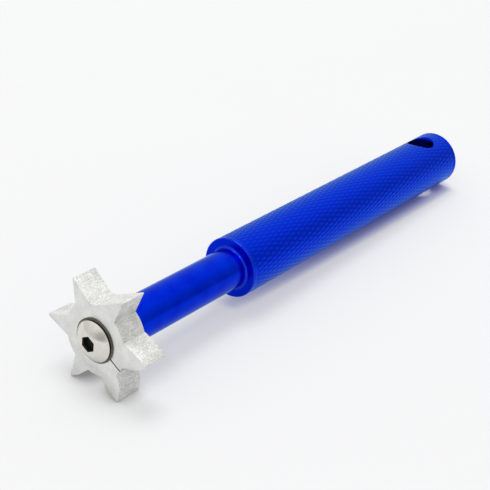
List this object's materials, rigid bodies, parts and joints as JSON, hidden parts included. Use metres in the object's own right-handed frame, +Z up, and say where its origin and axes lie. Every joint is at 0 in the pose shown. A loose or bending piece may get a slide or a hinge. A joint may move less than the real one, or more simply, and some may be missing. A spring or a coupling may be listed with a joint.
{
  "type": "groove sharpener",
  "caption": "Hand groove sharpener: toothed steel cutter clamped by a hex-socket screw to the end of a round shank with a knurled blue aluminium grip and a hanging hole.",
  "frame": {"origin": "on the tool's axis, on the shoulder of the shank that the cutter's back face seats on", "axes": "+X along the axis from the cutter to the butt of the grip, +Z up, midway between two teeth; the hanging hole leans 5.9 degrees from it towards +Y"},
  "size_m": [0.1432, 0.0284, 0.0247],
  "materials": {
    "anodised_grip": "blue anodised, fine diamond knurl",
    "anodised_shank": "blue anodised, smooth turned satin",
    "cutter_steel": "matt light grey, fine wire-cut grain",
    "washer_steel": "darkened steel",
    "screw_steel": "polished stainless"
  },
  "bodies": {
    "handle": {"grip": "anodised_grip", "shank": "anodised_shank"},
    "cutter": {"cutter": "cutter_steel"},
    "washer": {"washer": "washer_steel"},
    "screw": {"clamp_screw": "screw_steel"}
  },
  "joints": [
    {"name": "cutter_index", "type": "hinge", "parent": "handle", "child": "cutter", "pos_m": [0, 0, 0], "axis": [-1, 0, 0], "continuous": true},
    {"name": "screw_travel", "type": "slide", "parent": "handle", "child": "washer", "axis": [-1, 0, 0], "range_m": [0, 0.0112]},
    {"name": "screw_turn", "type": "hinge", "parent": "washer", "child": "screw", "pos_m": [0, 0, 0], "axis": [-1, 0, 0], "range_deg": [0, 5040]}
  ],
  "couplings": [
    {"joint": "screw_turn", "follows": "screw_travel", "rad_per_m": 7854}
  ]
}
